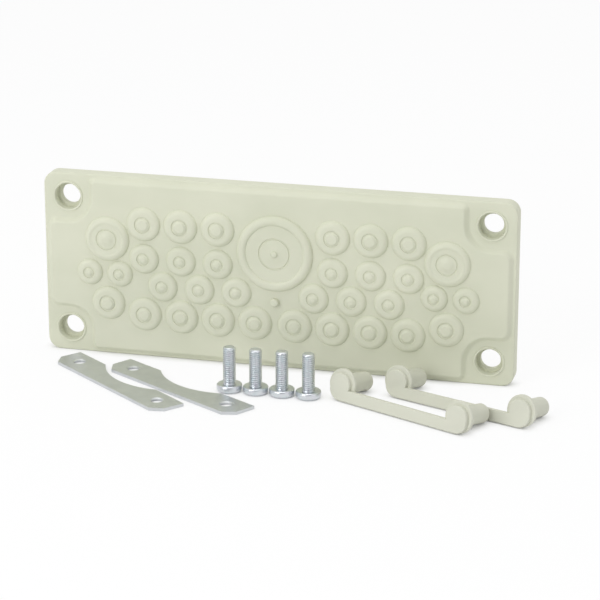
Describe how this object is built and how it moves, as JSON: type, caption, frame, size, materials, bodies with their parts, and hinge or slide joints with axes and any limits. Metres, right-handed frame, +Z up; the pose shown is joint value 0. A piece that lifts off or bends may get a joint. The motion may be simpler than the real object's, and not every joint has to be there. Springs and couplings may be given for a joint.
{
  "type": "cable entry plate",
  "caption": "Flat moulded cable entry plate with pierceable membranes and counterbored corner holes, and its clamp strips, screws and cap straps laid out in front of it.",
  "frame": {"origin": "centre of the four fixing holes, in the plane of the rear sealing face", "axes": "+X along the plate, +Y out of its rear face towards the enclosure, +Z up the plate as it stands on its long lower edge"},
  "size_m": [0.2511, 0.0786, 0.089],
  "materials": {
    "plate_plastic": "soft matt moulding",
    "cap_plastic": "soft matt moulding",
    "strip_steel": "zinc plated, rolled",
    "screw_zinc": "bright zinc plated"
  },
  "bodies": {
    "root": {"entry_plate": "plate_plastic", "left_clamp_strip": "strip_steel", "right_clamp_strip": "strip_steel", "screws": "screw_zinc", "front_cap_strap": "cap_plastic", "rear_cap_strap": "cap_plastic"}
  },
  "joints": []
}
